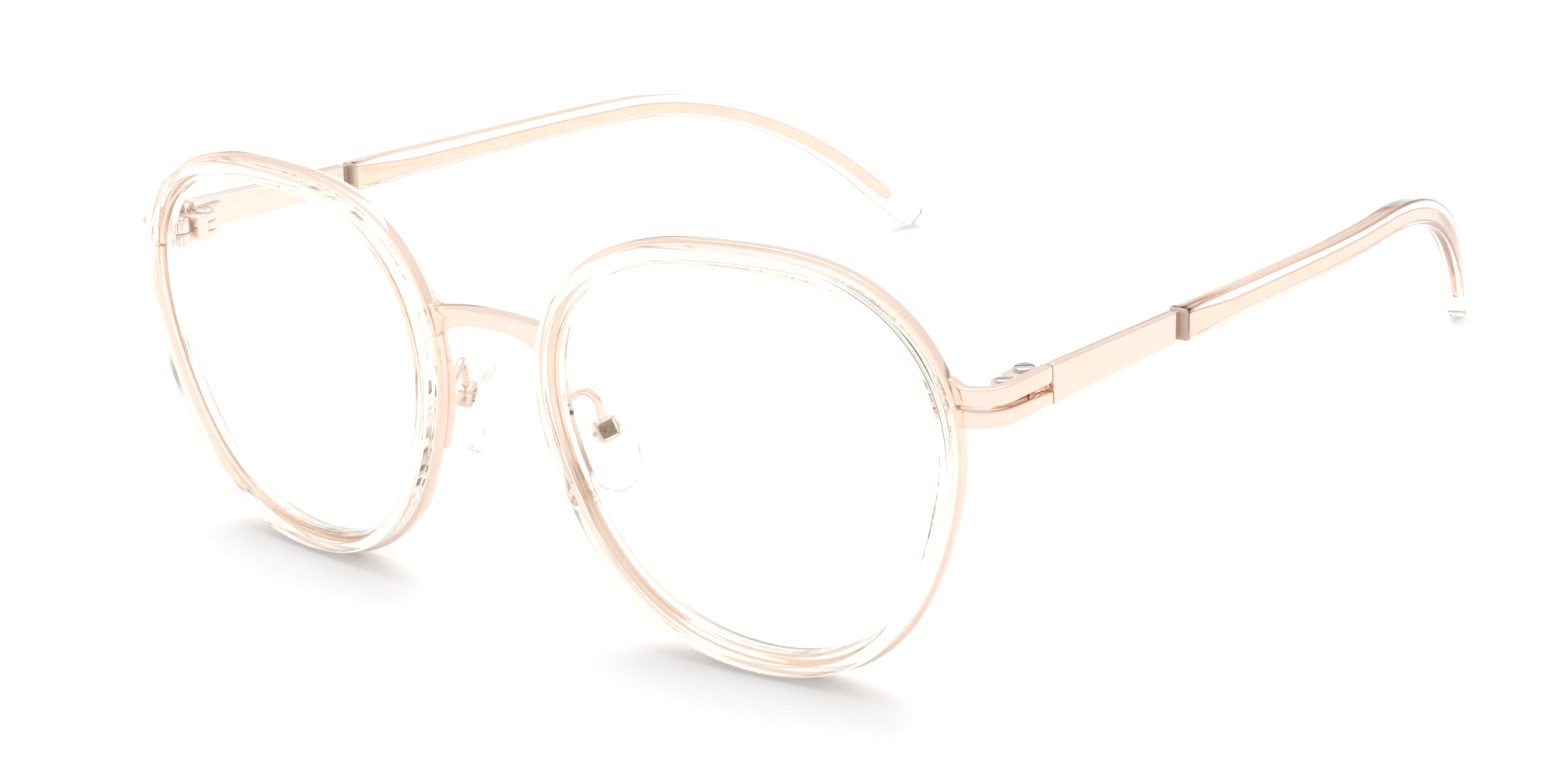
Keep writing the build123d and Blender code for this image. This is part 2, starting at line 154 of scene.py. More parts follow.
def rounded_outline(corners, steps=5):
    """Points round an outline given as anticlockwise corners (x, y, radius)."""
    points = []
    for i, (x, y, radius) in enumerate(corners):
        here = Vector((x, y))
        before = (Vector(corners[i - 1][:2]) - here).normalized()
        after = (Vector(corners[(i + 1) % len(corners)][:2]) - here).normalized()
        if radius == 0:
            points.append(here)
            continue
        half = before.angle(after) / 2
        centre = here + (before + after).normalized() * (radius / sin(half))
        start = here + before * (radius / tan(half)) - centre
        turn = pi - 2 * half
        for step in range(steps + 1):
            a = turn * step / steps
            points.append(centre + Vector((
                start.x * cos(a) - start.y * sin(a), start.x * sin(a) + start.y * cos(a))))
    return points


def profile_curve(points):
    """A closed flat curve through the points, for a sweep to carry along a path."""
    curve = bpy.data.curves.new("profile", "CURVE")
    spline = curve.splines.new("POLY")
    spline.points.add(len(points) - 1)
    for point, place in zip(spline.points, points):
        point.co = (place.x, place.y, 0, 1)
    spline.use_cyclic_u = True
    profile = bpy.data.objects.new("profile", curve)
    bpy.context.collection.objects.link(profile)
    return profile


def new_tree(name, sizes):
    """A Geometry Nodes tree with a named input for each size, and its input and output nodes."""
    tree = bpy.data.node_groups.new(name, "GeometryNodeTree")
    tree.interface.new_socket("Geometry", in_out="OUTPUT", socket_type="NodeSocketGeometry")
    for size, kind in sizes.items():
        tree.interface.new_socket(size, in_out="INPUT", socket_type="NodeSocket" + kind)
    return tree, add_node(tree, "NodeGroupInput").outputs


def close_tree(tree, geometry, material):
    """Ends a tree: its instances are made real and take the material."""
    real = add_node(tree, "GeometryNodeRealizeInstances", {"Geometry": geometry})
    coated = add_node(
        tree, "GeometryNodeSetMaterial", {"Geometry": real.outputs["Geometry"], "Material": material})
    add_node(tree, "NodeGroupOutput", {"Geometry": coated.outputs["Geometry"]})


def grow(tree, sizes):
    """The plain mesh that a tree makes with these sizes."""
    carrier = bpy.data.objects.new("carrier", bpy.data.meshes.new("carrier"))
    bpy.context.collection.objects.link(carrier)
    modifier = carrier.modifiers.new("grow", "NODES")
    modifier.node_group = tree
    for socket in tree.interface.items_tree:
        if socket.in_out == "INPUT":
            modifier[socket.identifier] = sizes[socket.name]
    bpy.context.view_layer.update()
    mesh = bpy.data.meshes.new_from_object(carrier.evaluated_get(bpy.context.evaluated_depsgraph_get()))
    bpy.data.objects.remove(carrier)
    return mesh


def smooth(mesh, angle=32):
    """Smooth shading that breaks at edges sharper than the angle."""
    mesh.shade_smooth()
    mesh.set_sharp_from_angle(angle=radians(angle))
    return mesh


def add_piece(name, mesh, material, body, nodes):
    """Sets a finished mesh in place as one piece that rides on its body and stands for its CAD nodes."""
    mesh.name = name
    mesh.materials.clear()
    mesh.materials.append(material)
    piece = bpy.data.objects.new(name, mesh)
    bpy.context.collection.objects.link(piece)
    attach(piece, body)
    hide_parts(*nodes)
    return piece


def add_pair(name, mesh, material, body, node):
    """The wearer's left piece as drawn, and its mirror image on the right."""
    twin = mesh.copy()
    twin.transform(Matrix.Scale(-1, 4, (1, 0, 0)))
    twin.flip_normals()
    for side, shape in (("left", mesh), ("right", twin)):
        shape.transform(to_model)
        rides_on = body if body == "front" else f"{side}_{body}"
        add_piece(f"{side}_{name}", shape, material, rides_on, [f"{side}_{node}"])


# Polished rose-gold plate on nickel silver: mirror-like, with the faint cloudiness of buffing.
# The buffing haze is drawn 0.6 mm wide, coarser than the real one, so that it shows.
rose_gold = new_material(
    "polished_rose_gold_plate", {"Metallic": 1.0}, grain_size=0.6, rough=(0.04, 0.08), bump_height=0.006,
    tint=(ROSE_GOLD, ROSE_GOLD_WARM))

# The rim sweep carries a profile round the outline: its points are (inset from the outer face, forward).
rim_sizes = {"Profile": "Object", "Split": "Bool", "Start": "Float", "Sweep": "Float", "Radius": "Float"}
for wave, k, c, s in RIM_WAVES:
    rim_sizes[wave + " cos"] = "Float"
    rim_sizes[wave + " sin"] = "Float"
rim_tree, given = new_tree("rim_sweep", rim_sizes)
RIM_STEPS = 240
ring = add_node(rim_tree, "GeometryNodeCurvePrimitiveCircle", {"Resolution": RIM_STEPS, "Radius": 1.0})
arc = add_node(rim_tree, "GeometryNodeCurveArc", {
    "Resolution": RIM_STEPS, "Radius": 1.0, "Start Angle": given["Start"], "Sweep Angle": given["Sweep"]})
path = add_node(rim_tree, "GeometryNodeSwitch", {
    "Switch": given["Split"], "False": ring.outputs["Curve"], "True": arc.outputs["Curve"]},
    input_type="GEOMETRY")
spot = add_node(rim_tree, "ShaderNodeSeparateXYZ", {
    "Vector": add_node(rim_tree, "GeometryNodeInputPosition").outputs["Position"]})
angle = add_node(rim_tree, "ShaderNodeMath", {
    0: spot.outputs["Y"], 1: spot.outputs["X"]}, operation="ARCTAN2")
radius = given["Radius"]
for wave, k, c, s in RIM_WAVES:
    turned = add_node(rim_tree, "ShaderNodeMath", {0: angle.outputs[0], 1: float(k)}, operation="MULTIPLY")
    for part, operation in ((" cos", "COSINE"), (" sin", "SINE")):
        ripple = add_node(rim_tree, "ShaderNodeMath", {0: turned.outputs[0]}, operation=operation)
        radius = add_node(rim_tree, "ShaderNodeMath", {
            0: ripple.outputs[0], 1: given[wave + part], 2: radius}, operation="MULTIPLY_ADD").outputs[0]
reach = add_node(rim_tree, "ShaderNodeVectorMath", {
    0: add_node(rim_tree, "GeometryNodeInputPosition").outputs["Position"], "Scale": radius},
    operation="SCALE")
outline = add_node(rim_tree, "GeometryNodeSetPosition", {
    "Geometry": path.outputs["Output"], "Position": reach.outputs["Vector"]})
upright = add_node(rim_tree, "GeometryNodeSetCurveNormal", {
    "Curve": outline.outputs["Geometry"]}, mode="Z_UP")
shape = add_node(rim_tree, "GeometryNodeObjectInfo", {"Object": given["Profile"]})
swept = add_node(rim_tree, "GeometryNodeCurveToMesh", {
    "Curve": upright.outputs["Curve"], "Profile Curve": shape.outputs["Geometry"], "Fill Caps": True})
close_tree(rim_tree, swept.outputs["Mesh"], rose_gold)


def sweep_rim(corners, split=False):
    """A ring round the rim's outline with the profile of the corners (inset, forward, radius)."""
    profile = profile_curve([Vector((-point.x, -point.y)) for point in rounded_outline(corners)])
    gap = BAND_SPLIT_GAP / RIM_RADIUS
    start = radians(BAND_SPLIT_ANGLE) + gap / 2
    sizes = {"Profile": profile, "Split": split, "Start": start, "Sweep": 2 * pi - gap, "Radius": RIM_RADIUS}
    for wave, k, c, s in RIM_WAVES:
        sizes[wave + " cos"], sizes[wave + " sin"] = c, s
    mesh = grow(rim_tree, sizes)
    bpy.data.objects.remove(profile)
    form = bmesh.new()
    form.from_mesh(mesh)
    bmesh.ops.recalc_face_normals(form, faces=form.faces)
    form.to_mesh(mesh)
    form.free()
    return mesh


band = sweep_rim([
    (0, BAND_BACK, 0.14), (BAND_THICK, BAND_BACK, 0.1), (BAND_THICK, BAND_FRONT, 0.1), (0, BAND_FRONT, 0.14),
], split=True)
band.transform(rim_plane)
add_pair("rim_band", smooth(band), rose_gold, "front", "eyewire")

# ==== Crystal inner rims ====
# A ring of clear acetate is cut to the outline, tumbled until it is bright, and sprung into each band.
# It stands proud of the metal at the front, has a wide bevel towards the lens and a groove that holds it.

RING_FRONT, RING_BACK = 2.48, -2.43
RING_INNER = 2.75
RING_FLAT = 1.95
GROOVE_LOW, GROOVE_HIGH, GROOVE_INNER = -0.75, 0.05, 2.25
AIR = 0.03
BEDDED = 0.05

# Tumbled cellulose acetate: colourless with a breath of warmth, bright, its surface very slightly wavy.
crystal = new_material(
    "tumbled_crystal_acetate", {"Base Color": colour("FFFBF5"), "Transmission Weight": 1.0, "IOR": 1.48},
    grain_size=1.5, rough=(0.0, 0.02), bump_height=0.01)

ring = sweep_rim([
    (BAND_THICK - BEDDED, RING_BACK, 0.35), (RING_INNER, RING_BACK, 0.5), (RING_INNER, GROOVE_LOW, 0),
    (GROOVE_INNER, GROOVE_LOW, 0), (GROOVE_INNER, GROOVE_HIGH, 0), (RING_INNER, GROOVE_HIGH, 0),
    (RING_INNER, 1.5, 0.15), (RING_FLAT, RING_FRONT, 0.3), (BAND_THICK - BEDDED, RING_FRONT, 0.4),
])
ring.transform(rim_plane)
add_pair("crystal_ring", smooth(ring), crystal, "front", "inner_rim")

# ==== Lenses ====
# A display lens of clear acrylic: a shallow meniscus, edged to the outline with a small bevel
# that snaps into the groove.

LENS_FRONT_RADIUS = 210.0
LENS_THICK = 1.8
LENS_POLE = 1.95
LENS_COLUMNS = 144
LENS_RINGS = 14
LENS_HOLE = 0.02
SNAP_INSET, SNAP_SLOPE = 0.08, 0.3

# Polished acrylic: optically clear, mirror-smooth, with a trace of handling haze.
acrylic = new_material(
    "polished_clear_acrylic", {"Base Color": colour("FEFFFF"), "Transmission Weight": 1.0, "IOR": 1.49},
    grain_size=4.0, rough=(0.0, 0.012), bump_height=0.002)


def loft(rings, name="loft", capped=True):
    """A mesh through rings of equal point counts, closed at both ends, its faces outwards."""
    form = bmesh.new()
    rows = [[form.verts.new(point) for point in ring] for ring in rings]
    for low, high in zip(rows, rows[1:]):
        for i in range(len(low)):
            j = (i + 1) % len(low)
            form.faces.new((low[i], low[j], high[j], high[i]))
    if capped:
        form.faces.new(rows[0])
        form.faces.new(rows[-1])
    bmesh.ops.recalc_face_normals(form, faces=form.faces)
    mesh = bpy.data.meshes.new(name)
    form.to_mesh(mesh)
    form.free()
    return mesh


def on_sphere(point, radius):
    """A place of the outline brought onto a lens surface of this radius."""
    across_axis = point.x ** 2 + point.y ** 2
    return Vector((point.x, point.y, LENS_POLE - LENS_FRONT_RADIUS + sqrt(radius ** 2 - across_axis)))


angles = [2 * pi * i / LENS_COLUMNS for i in range(LENS_COLUMNS)]
lens_rings = []
for surface in (LENS_FRONT_RADIUS, LENS_FRONT_RADIUS - LENS_THICK):
    rings = []
    for i in range(LENS_RINGS + 1):
        share = LENS_HOLE + (1 - LENS_HOLE) * i / LENS_RINGS
        rings.append([on_sphere(rim_point(a, RING_INNER + AIR) * share, surface) for a in angles])
    lens_rings.append(rings)
bevel = [
    [rim_point(a, inset, forward_by) for a in angles]
    for inset, forward_by in (
        (RING_INNER + AIR, GROOVE_HIGH - AIR), (GROOVE_INNER + SNAP_INSET, GROOVE_HIGH - SNAP_SLOPE),
        (GROOVE_INNER + SNAP_INSET, GROOVE_LOW + SNAP_SLOPE), (RING_INNER + AIR, GROOVE_LOW + AIR))
]
lens = loft(lens_rings[0] + bevel + lens_rings[1][::-1], "lens")
lens.transform(rim_plane)
add_pair("display_lens", smooth(lens, 25), acrylic, "front", "lens")

# ==== Bridge ====
# One solid bar of the same plated metal joins the rims: flat and level on top, arched below, and
# flared where it is brazed to the bands. All its long edges are softened by polishing.

BRIDGE_FRONT, BRIDGE_DEPTH = -2.7, 2.0
BRIDGE_TOP, BRIDGE_END_TOP = 11.2, 10.4
BRIDGE_FOOT, BRIDGE_FLARE_FOOT = 9.2, 6.6
BRAZED_IN = 0.35
TOP_FILLET, TOP_FILLET_REACH = 0.55, 1.3
FLARE_POWER = 3.2
BRIDGE_ROUNDING = 0.38
BRIDGE_STEPS, END_STEPS = 24, 12


def rounded(mesh, width, segments=3, angle=35):
    """The mesh with its sharp edges rounded to this width."""
    holder = bpy.data.objects.new("holder", mesh)
    bpy.context.collection.objects.link(holder)
    bevel = holder.modifiers.new("round", "BEVEL")
    bevel.width, bevel.segments, bevel.limit_method = width, segments, "ANGLE"
    bevel.angle_limit = radians(angle)
    bevel.harden_normals = False
    bpy.context.view_layer.update()
    result = bpy.data.meshes.new_from_object(holder.evaluated_get(bpy.context.evaluated_depsgraph_get()))
    bpy.data.objects.remove(holder)
    return result


def band_face(height, low_angle, high_angle, inset=BRAZED_IN):
    """The place on the band's outer face, sunk by inset, at this height, between two angles round the rim."""
    for step in range(40):
        middle_angle = (low_angle + high_angle) / 2
        place = rim_plane @ rim_point(middle_angle, inset)
        if place.z < height:
            low_angle = middle_angle
        else:
            high_angle = middle_angle
    return place


nose_side = (pi, pi / 2)
end_places = []
for i in range(END_STEPS):
    height = BRIDGE_END_TOP + 0.6 + (BRIDGE_FLARE_FOOT - BRIDGE_END_TOP - 0.6) * i / (END_STEPS - 1)
    place = band_face(height, *nose_side)
    end_places.append(Vector((place.x, height)))
half_outline = []
for i in range(BRIDGE_STEPS):
    share = i / BRIDGE_STEPS
    x = end_places[0].x * share
    fillet = TOP_FILLET * max(1 - (end_places[0].x - x) / TOP_FILLET_REACH, 0) ** 2
    half_outline.append(Vector((x, BRIDGE_TOP - (BRIDGE_TOP - BRIDGE_END_TOP) * share ** 2 + fillet)))
half_outline += end_places
under = end_places[-1]
for i in range(1, BRIDGE_STEPS + 1):
    share = i / BRIDGE_STEPS
    x = under.x * (1 - share)
    rise = (BRIDGE_FOOT - BRIDGE_FLARE_FOOT) * (1 - (1 - share) ** FLARE_POWER)
    half_outline.append(Vector((x, BRIDGE_FLARE_FOOT + rise)))
other_half = [Vector((-p.x, p.y)) for p in half_outline[1:-1]][::-1]
outline = half_outline + other_half
bridge = loft([
    [Vector((p.x, BRIDGE_FRONT + depth, p.y)) for p in outline] for depth in (0, BRIDGE_DEPTH)], "bridge")
bridge = smooth(rounded(bridge, BRIDGE_ROUNDING, 4, 50))
bridge.transform(to_model)
add_piece("bridge_bar", bridge, rose_gold, "front", ["bridge"])

# ==== End pieces ====
# Two flat prongs a side, one over the other, run out from the band and bend back round the corner to
# the temple. They are brazed to the band with a small fillet and part by a narrow slit.

PRONG_TOP, PRONG_FOOT = 11.6, 7.15
PRONG_FRONT, PRONG_BACK = 2.2, 3.45
PRONG_THICK = 1.25
PRONG_CORNER_X, SIDE_X, SEAM_Y = 67.0, 67.65, 12.75
PRONG_BEND = 4.2
SLIT_AT_RIM = (9.15, 9.55)
SLIT_AT_SEAM = (8.67, 9.59)
ROOT_X = 61.2
ROOT_REACH, FILLET = 0.6, 1.5
PRONG_ROUNDING = 0.2
SEAM_TRIM, SEAM_TRIM_REACH = 0.12, 0.15


def bent_path(start, corner, end, bend):
    """Places along a straight, a bend of this radius at the corner, and a second straight."""
    before, after = (start - corner).normalized(), (end - corner).normalized()
    reach = bend / tan(before.angle(after) / 2)
    centre = corner + (before + after).normalized() * (bend / sin(before.angle(after) / 2))
    first, last = corner + before * reach, corner + after * reach
    places = [start.lerp(first, i / 14) for i in range(14)]
    turn = (first - centre).angle_signed(last - centre)
    for i in range(15):
        a = -turn * i / 14
        arm = first - centre
        places.append(centre + Vector((arm.x * cos(a) - arm.y * sin(a), arm.x * sin(a) + arm.y * cos(a))))
    return places + [last.lerp(end, i / 12) for i in range(1, 13)]


outer_path = bent_path(
    Vector((ROOT_X, PRONG_FRONT)), Vector((PRONG_CORNER_X, PRONG_FRONT)), Vector((SIDE_X, SEAM_Y)),
    PRONG_BEND)
inner_path = bent_path(
    Vector((ROOT_X, PRONG_BACK)), Vector((PRONG_CORNER_X - PRONG_THICK, PRONG_BACK)),
    Vector((SIDE_X - PRONG_THICK, SEAM_Y)), PRONG_BEND - PRONG_THICK)
first_bend_x = outer_path[14].x


def prong(at_rim, at_seam, fillet_up, fillet_down):
    """One prong of the strip, its foot and top given at the rim and at the seam."""
    rings = []
    for outer, inner in zip(outer_path, inner_path):
        share = max((inner.y - PRONG_BACK) / (SEAM_Y - PRONG_BACK), 0)
        foot, top = [r + (s - r) * share for r, s in zip(at_rim, at_seam)]
        away = min(max(1 - (outer.x - ROOT_X - ROOT_REACH) / FILLET, 0), 1)
        top += fillet_up * away ** 2
        foot -= fillet_down * away ** 2
        end = min((SEAM_Y - outer.y) / SEAM_TRIM_REACH, 1)
        thick = (outer - inner).length
        trim = SEAM_TRIM * (1 - end)
        section = rounded_outline([
            (trim, foot + trim, PRONG_ROUNDING), (thick - trim, foot + trim, PRONG_ROUNDING),
            (thick - trim, top - trim, PRONG_ROUNDING), (trim, top - trim, PRONG_ROUNDING)])
        ring = []
        for point in section:
            flat = inner + (outer - inner).normalized() * point.x
            to_bend = 1
            if outer.y < PRONG_FRONT + 0.01:
                to_bend = min(max((flat.x - ROOT_X) / (first_bend_x - ROOT_X), 0), 1)
            root = band_face(point.y, 0, pi / 2).x
            ring.append(Vector((flat.x + (root - ROOT_X) * (1 - to_bend), flat.y, point.y)))
        rings.append(ring)
    return loft(rings, "prong")


upper = prong((SLIT_AT_RIM[1], PRONG_TOP), (SLIT_AT_SEAM[1], PRONG_TOP), 0.7, 0.0)
add_pair("upper_end_prong", smooth(upper), rose_gold, "front", "upper_prong")
lower = prong((PRONG_FOOT, SLIT_AT_RIM[0]), (PRONG_FOOT, SLIT_AT_SEAM[0]), 0.0, 0.35)
add_pair("lower_end_prong", smooth(lower), rose_gold, "front", "lower_prong")

# ==== Rim locks and hinge leaves ====
# Small milled blocks of the same metal, brazed behind the end pieces. The lock's two halves close the
# band on its lens; the hinge has two knuckles on the front and one, with a plate, on the temple.


def worked_copy(node, width, segments=2):
    """A CAD node's shape in millimetres, its loose triangles merged and its edges broken by this width."""
    form = bmesh.new()
    form.from_mesh(frame["nodes"][node].data)
    form.transform(to_model.inverted())
    bmesh.ops.remove_doubles(form, verts=form.verts, dist=0.002)
    bmesh.ops.dissolve_limit(form, angle_limit=radians(2), verts=form.verts, edges=form.edges)
    mesh = bpy.data.meshes.new(node + "_worked")
    form.to_mesh(mesh)
    form.free()
    return smooth(rounded(mesh, width, segments))


for node, width, name, body in (
    ("rim_lock_upper", 0.12, "lock_block_over", "front"),
    ("rim_lock_lower", 0.12, "lock_block_under", "front"),
    ("front_hinge_leaf", 0.1, "hinge_leaf_on_front", "front"),
    ("temple_hinge_leaf", 0.1, "hinge_leaf_on_temple", "temple"),
    ("nose_plate", 0.12, "nose_wing", "front"),
):
    add_pair(name, worked_copy("left_" + node, width), rose_gold, body, node)

# ==== Screws ====
# Turned stainless screws with slotted cheese heads: one through each hinge, one that draws each rim
# lock together, and a tiny one across each nose pad's box.

# Turned stainless steel: greyer than the plate, with fine tool marks drawn 0.08 mm apart.
steel = new_material(
    "turned_stainless_steel", {"Metallic": 1.0}, grain_size=0.08, rough=(0.14, 0.26), bump_height=0.004,
    tint=("D9D7D4", "C9C6C2"))

screw_sizes = {
    "Shaft radius": "Float", "Shaft length": "Float", "Head radius": "Float", "Head height": "Float",
    "Slot width": "Float", "Slot depth": "Float", "Thread pitch": "Float"}
screw_tree, given = new_tree("slotted_screw", screw_sizes)
shaft_drop = add_node(screw_tree, "ShaderNodeMath", {0: given["Shaft length"], 1: -1.0}, operation="MULTIPLY")
shaft_end = add_node(screw_tree, "ShaderNodeCombineXYZ", {"Z": shaft_drop.outputs[0]})
shaft_line = add_node(screw_tree, "GeometryNodeCurvePrimitiveLine", {
    "Start": (0, 0, 0), "End": shaft_end.outputs["Vector"]})
turns = add_node(screw_tree, "ShaderNodeMath", {
    0: given["Shaft length"], 1: given["Thread pitch"]}, operation="DIVIDE")
turns = add_node(screw_tree, "ShaderNodeMath", {
    0: turns.outputs[0], 1: 2.0, 2: 1.0}, operation="MULTIPLY_ADD")
shaft_path = add_node(screw_tree, "GeometryNodeResampleCurve", {
    "Curve": shaft_line.outputs["Curve"], "Count": turns.outputs[0]})
odd = add_node(screw_tree, "ShaderNodeMath", {
    0: add_node(screw_tree, "GeometryNodeInputIndex").outputs["Index"], 1: 2.0}, operation="MODULO")
crest = add_node(screw_tree, "ShaderNodeMapRange", {"Value": odd.outputs[0], "To Min": 0.98, "To Max": 0.86})
threaded = add_node(screw_tree, "GeometryNodeSetCurveRadius", {
    "Curve": shaft_path.outputs["Curve"], "Radius": crest.outputs["Result"]})
shaft_ring = add_node(screw_tree, "GeometryNodeCurvePrimitiveCircle", {
    "Resolution": 24, "Radius": given["Shaft radius"]})
shaft = add_node(screw_tree, "GeometryNodeCurveToMesh", {
    "Curve": threaded.outputs["Curve"], "Profile Curve": shaft_ring.outputs["Curve"],
    "Scale": crest.outputs["Result"], "Fill Caps": True})
head_top = add_node(screw_tree, "ShaderNodeCombineXYZ", {"Z": given["Head height"]})
head_line = add_node(screw_tree, "GeometryNodeCurvePrimitiveLine", {
    "Start": (0, 0, 0), "End": head_top.outputs["Vector"]})
head_path = add_node(screw_tree, "GeometryNodeResampleCurve", {
    "Curve": head_line.outputs["Curve"], "Count": 10})
along = add_node(screw_tree, "GeometryNodeSplineParameter").outputs["Factor"]
shoulder = add_node(screw_tree, "ShaderNodeMapRange", {"Value": along, "From Min": 0.5, "From Max": 1.0})
shoulder = add_node(screw_tree, "ShaderNodeMath", {0: shoulder.outputs["Result"], 1: 2.5}, operation="POWER")
waist = add_node(screw_tree, "ShaderNodeMapRange", {
    "Value": shoulder.outputs[0], "To Min": 1.0, "To Max": 0.84})
head_ring = add_node(screw_tree, "GeometryNodeCurvePrimitiveCircle", {
    "Resolution": 48, "Radius": given["Head radius"]})
head = add_node(screw_tree, "GeometryNodeCurveToMesh", {
    "Curve": head_path.outputs["Curve"], "Profile Curve": head_ring.outputs["Curve"],
    "Scale": waist.outputs["Result"], "Fill Caps": True})
slot_height = add_node(screw_tree, "ShaderNodeMath", {0: given["Slot depth"], 1: 2.0}, operation="MULTIPLY")
slot_size = add_node(screw_tree, "ShaderNodeCombineXYZ", {
    "X": 4.0, "Y": given["Slot width"], "Z": slot_height.outputs[0]})
slot_block = add_node(screw_tree, "GeometryNodeMeshCube", {"Size": slot_size.outputs["Vector"]})
slot_up = add_node(screw_tree, "GeometryNodeTransform", {
    "Geometry": slot_block.outputs["Mesh"], "Translation": head_top.outputs["Vector"]})
slotted = add_node(screw_tree, "GeometryNodeMeshBoolean", {
    "Mesh 1": head.outputs["Mesh"], "Mesh 2": slot_up.outputs["Geometry"]},
    operation="DIFFERENCE", solver="EXACT")
whole = add_node(screw_tree, "GeometryNodeJoinGeometry")
screw_tree.links.new(shaft.outputs["Mesh"], whole.inputs["Geometry"])
screw_tree.links.new(slotted.outputs["Mesh"], whole.inputs["Geometry"])
close_tree(screw_tree, whole.outputs["Geometry"], steel)

CUP_PLACE = Vector((11.4, 4.4, -3.0))
away = Vector((0.84, -0.46, 0.28)).normalized()
level = Vector((0, 0, 1)).cross(away).normalized()
pad_plane = Matrix.Translation(CUP_PLACE) @ Matrix(
    (level, away.cross(level), away)).transposed().to_4x4() @ Matrix.Rotation(radians(14.6), 4, "Z")

HEAD_SEAT = 10.5
THREAD_PITCH = 0.2
SCREW_SIDES = ("left", "right")
slot_turn = Matrix.Rotation(radians(35), 4, "Z")
pad_screw_place = pad_plane @ Matrix.Translation((1.35, 0, 0)) @ Matrix.Rotation(pi / 2, 4, "Y")
screws = bmesh.new()
for place, shaft_radius, shaft_length, head_radius, head_height, slot_width in (
    (Matrix.Translation((63.9, 12.85, HEAD_SEAT)) @ slot_turn, 0.6, 3.7, 1.15, 0.35, 0.3),
    (Matrix.Translation((64.0, 8.6, HEAD_SEAT)) @ slot_turn, 0.5, 3.35, 0.85, 0.3, 0.25),
    (pad_screw_place, 0.29, 3.0, 0.55, 0.4, 0.2),
):
    screw = grow(screw_tree, {
        "Shaft radius": shaft_radius, "Shaft length": shaft_length, "Head radius": head_radius,
        "Head height": head_height, "Slot width": slot_width, "Slot depth": head_height / 2,
        "Thread pitch": THREAD_PITCH})
    screw.transform(place)
    screws.from_mesh(screw)
    screw.transform(Matrix.Scale(-1, 4, (1, 0, 0)))
    screw.flip_normals()
    screws.from_mesh(screw)
screws.transform(to_model)
screw_mesh = bpy.data.meshes.new("frame_screws")
screws.to_mesh(screw_mesh)
screws.free()
add_piece("frame_screws", smooth(screw_mesh, 25), steel, "front", [
    f"{side}_{node}" for side in SCREW_SIDES for node in ("hinge_screw", "rim_lock_screw", "pad_screw")])

# ==== Temple blades ====
# A flat bar leaves the hinge, tapers a little, and narrows to a thin core wire. The core runs on
# inside the clear sleeve: a wide head, a taper, and a slim flat wire round the ear.

TEMPLE_X, TEMPLE_Z = 67.05, 9.36
SPLAY, SLOPE = radians(1.55), radians(3.8)
SEAM_GAP = 0.08
STRAIGHT = 81.0
EAR_RADIUS, EAR_BEND = 67.0, radians(42.2)
TIP_STRAIGHT = 13.05
CURL_START, CURL = 60.0, 0.0028
SLEEVE_START = 27.0
sleeve_end = STRAIGHT + EAR_RADIUS * EAR_BEND + TIP_STRAIGHT
core_end = sleeve_end - 7.0
CORE_STEP, SLEEVE_STEP = 1.5, 1.2


def temple_point(s):
    """A point s along the temple: straight, round the ear, then straight to the tip."""
    turned = min(max((s - STRAIGHT) / EAR_RADIUS, 0), EAR_BEND)
    before, after = min(s, STRAIGHT), max(s - STRAIGHT - EAR_RADIUS * EAR_BEND, 0)
    back = before * cos(SLOPE) + EAR_RADIUS * (sin(SLOPE + turned) - sin(SLOPE))
    back += after * cos(SLOPE + EAR_BEND)
    down = before * sin(SLOPE) + EAR_RADIUS * (cos(SLOPE) - cos(SLOPE + turned))
    down += after * sin(SLOPE + EAR_BEND)
    inward = back * tan(SPLAY) + CURL * max(back - CURL_START, 0) ** 2
    return Vector((TEMPLE_X - inward, SEAM_Y + SEAM_GAP + back, TEMPLE_Z - down))


def temple_section(s, thick, height, rounding, lowered=0.0):
    """The rounded section across the temple at s, lowered from its middle line."""
    direction = (temple_point(s + 0.05) - temple_point(max(s - 0.05, 0))).normalized()
    if s < 0.01:
        direction = Vector((0, 1, 0))
    outwards = direction.cross(Vector((0, 0, 1))).normalized()
    upwards = outwards.cross(direction)
    half_thick, half_height = thick / 2, height / 2
    corners = [(-half_thick, -half_height, rounding), (half_thick, -half_height, rounding),
               (half_thick, half_height, rounding), (-half_thick, half_height, rounding)]
    middle = temple_point(s) - upwards * lowered
    return [middle + outwards * p.x + upwards * p.y for p in rounded_outline(corners, 6)]


def eased(stations, s):
    """Sizes at s on a smooth curve through stations, each a place followed by its sizes."""
    i = max(j for j in range(len(stations) - 1) if stations[j][0] <= s + 1e-6)
    (s0, *low), (s1, *high) = stations[i], stations[i + 1]
    prior, later = stations[max(i - 1, 0)], stations[min(i + 2, len(stations) - 1)]
    u = (s - s0) / (s1 - s0)
    sizes = []
    for n, (a, b) in enumerate(zip(low, high), 1):
        grade_a = (b - prior[n]) / (s1 - prior[0]) * (s1 - s0)
        grade_b = (later[n] - a) / (later[0] - s0) * (s1 - s0)
        if (a - prior[n]) * (b - a) <= 0:
            grade_a = 0
        if (b - a) * (later[n] - b) <= 0:
            grade_b = 0
        sizes.append((2 * u ** 3 - 3 * u ** 2 + 1) * a + (u ** 3 - 2 * u ** 2 + u) * grade_a
                     + (3 * u ** 2 - 2 * u ** 3) * b + (u ** 3 - u ** 2) * grade_b)
    return sizes


